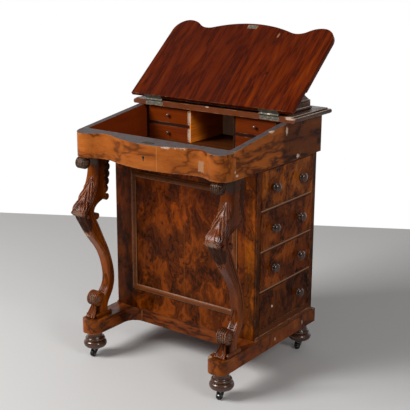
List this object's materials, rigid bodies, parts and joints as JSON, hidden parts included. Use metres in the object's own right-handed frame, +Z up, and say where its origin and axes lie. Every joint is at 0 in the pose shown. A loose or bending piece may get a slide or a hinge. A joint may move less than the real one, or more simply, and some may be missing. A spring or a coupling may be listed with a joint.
{
  "type": "davenport desk",
  "caption": "Davenport desk: sloping serpentine writing box with an open lid over a side-opening drawer pedestal, carved cabriole legs, sled plinth, bun feet and castors.",
  "frame": {"origin": "on the floor under the middle of the desk as it stands with its lid up", "axes": "+Z up, the sitter faces the desk from -Y, the working drawers open to +X"},
  "size_m": [0.6, 0.583, 1.0169],
  "materials": {
    "walnut_carcase": "french polished walnut veneer, worn",
    "burr_walnut": "french polished burr walnut",
    "carved_walnut": "polished carved walnut",
    "dark_walnut": "dark polished turned walnut",
    "top_walnut": "dulled walnut",
    "mahogany": "red mahogany, rubbed polish",
    "interior_wood": "thin mahogany and ash, rubbed",
    "drawer_lining": "plain unpolished wood",
    "writing_leather": "tooled hide, worn",
    "old_brass": "tarnished",
    "castor_iron": "dark, rubbed"
  },
  "bodies": {
    "desk": {"plinth_base": "walnut_carcase", "plinth_arms": "walnut_carcase", "case_back_panel": "walnut_carcase", "case_left_side": "walnut_carcase", "base_mouldings": "walnut_carcase", "dummy_drawer_fronts": "walnut_carcase", "box_left_side": "walnut_carcase", "box_right_side": "walnut_carcase", "box_front": "walnut_carcase", "box_back": "walnut_carcase", "panel_mouldings": "walnut_carcase", "case_front_panel": "burr_walnut", "left_leg": "carved_walnut", "right_leg": "carved_walnut", "bun_feet": "dark_walnut", "dummy_drawer_knobs": "dark_walnut", "top_board": "top_walnut", "stationery_box": "top_walnut", "stationery_lid": "top_walnut", "box_bottom": "interior_wood", "nest_boards": "interior_wood", "dust_boards": "drawer_lining", "case_base": "drawer_lining", "box_lock": "old_brass", "key_escutcheon": "old_brass", "hinge_leaves_fixed": "old_brass", "hinge_pins": "old_brass", "castor_sockets": "castor_iron"},
    "lid": {"writing_lid": "mahogany", "lid_rim": "top_walnut", "leather_panel": "writing_leather", "lock_striker": "old_brass", "hinge_leaves_lid": "old_brass"},
    "pen_drawer": {"pen_drawer_front": "walnut_carcase", "pen_drawer_tray": "drawer_lining"},
    "drawer_1": {"drawer_1_front": "walnut_carcase", "drawer_1_tray": "drawer_lining", "drawer_1_knobs": "dark_walnut"},
    "drawer_2": {"drawer_2_front": "walnut_carcase", "drawer_2_tray": "drawer_lining", "drawer_2_knobs": "dark_walnut"},
    "drawer_3": {"drawer_3_front": "walnut_carcase", "drawer_3_tray": "drawer_lining", "drawer_3_knobs": "dark_walnut"},
    "drawer_4": {"drawer_4_front": "walnut_carcase", "drawer_4_tray": "drawer_lining", "drawer_4_knobs": "dark_walnut"},
    "small_drawer_left_upper": {"small_drawer_left_upper": "mahogany"},
    "small_drawer_left_lower": {"small_drawer_left_lower": "mahogany"},
    "small_drawer_right_upper": {"small_drawer_right_upper": "mahogany"},
    "small_drawer_right_lower": {"small_drawer_right_lower": "mahogany"},
    "castor_front_left": {"castor_horn_front_left": "castor_iron"},
    "wheel_front_left": {"castor_wheel_front_left": "castor_iron"},
    "castor_front_right": {"castor_horn_front_right": "castor_iron"},
    "wheel_front_right": {"castor_wheel_front_right": "castor_iron"},
    "castor_rear_left": {"castor_horn_rear_left": "castor_iron"},
    "wheel_rear_left": {"castor_wheel_rear_left": "castor_iron"},
    "castor_rear_right": {"castor_horn_rear_right": "castor_iron"},
    "wheel_rear_right": {"castor_wheel_rear_right": "castor_iron"}
  },
  "joints": [
    {"name": "lid_hinge", "type": "hinge", "parent": "desk", "child": "lid", "pos_m": [0, 0.039, 0.7865], "axis": [-1, 0, 0], "range_deg": [-147.85, 0]},
    {"name": "drawer_1_slide", "type": "slide", "parent": "desk", "child": "drawer_1", "axis": [1, 0, 0], "range_m": [0, 0.33]},
    {"name": "drawer_2_slide", "type": "slide", "parent": "desk", "child": "drawer_2", "axis": [1, 0, 0], "range_m": [0, 0.33]},
    {"name": "drawer_3_slide", "type": "slide", "parent": "desk", "child": "drawer_3", "axis": [1, 0, 0], "range_m": [0, 0.33]},
    {"name": "drawer_4_slide", "type": "slide", "parent": "desk", "child": "drawer_4", "axis": [1, 0, 0], "range_m": [0, 0.33]},
    {"name": "small_drawer_left_upper_slide", "type": "slide", "parent": "desk", "child": "small_drawer_left_upper", "axis": [0, -1, 0], "range_m": [0, 0.12]},
    {"name": "small_drawer_left_lower_slide", "type": "slide", "parent": "desk", "child": "small_drawer_left_lower", "axis": [0, -1, 0], "range_m": [0, 0.12]},
    {"name": "small_drawer_right_upper_slide", "type": "slide", "parent": "desk", "child": "small_drawer_right_upper", "axis": [0, -1, 0], "range_m": [0, 0.045]},
    {"name": "small_drawer_right_lower_slide", "type": "slide", "parent": "desk", "child": "small_drawer_right_lower", "axis": [0, -1, 0], "range_m": [0, 0.045]},
    {"name": "pen_drawer_slide", "type": "slide", "parent": "desk", "child": "pen_drawer", "axis": [1, 0, 0], "range_m": [0, 0.12]},
    {"name": "castor_front_left_swivel", "type": "hinge", "parent": "desk", "child": "castor_front_left", "pos_m": [-0.245, -0.23, 0.024], "axis": [0, 0, 1], "continuous": true},
    {"name": "wheel_front_left_spin", "type": "hinge", "parent": "castor_front_left", "child": "wheel_front_left", "pos_m": [-0.245, -0.241, 0.01], "axis": [1, 0, 0], "continuous": true},
    {"name": "castor_front_right_swivel", "type": "hinge", "parent": "desk", "child": "castor_front_right", "pos_m": [0.245, -0.23, 0.024], "axis": [0, 0, 1], "continuous": true},
    {"name": "wheel_front_right_spin", "type": "hinge", "parent": "castor_front_right", "child": "wheel_front_right", "pos_m": [0.245, -0.241, 0.01], "axis": [1, 0, 0], "continuous": true},
    {"name": "castor_rear_left_swivel", "type": "hinge", "parent": "desk", "child": "castor_rear_left", "pos_m": [-0.245, 0.205, 0.024], "axis": [0, 0, 1], "continuous": true},
    {"name": "wheel_rear_left_spin", "type": "hinge", "parent": "castor_rear_left", "child": "wheel_rear_left", "pos_m": [-0.245, 0.194, 0.01], "axis": [1, 0, 0], "continuous": true},
    {"name": "castor_rear_right_swivel", "type": "hinge", "parent": "desk", "child": "castor_rear_right", "pos_m": [0.245, 0.205, 0.024], "axis": [0, 0, 1], "continuous": true},
    {"name": "wheel_rear_right_spin", "type": "hinge", "parent": "castor_rear_right", "child": "wheel_rear_right", "pos_m": [0.245, 0.194, 0.01], "axis": [1, 0, 0], "continuous": true}
  ]
}
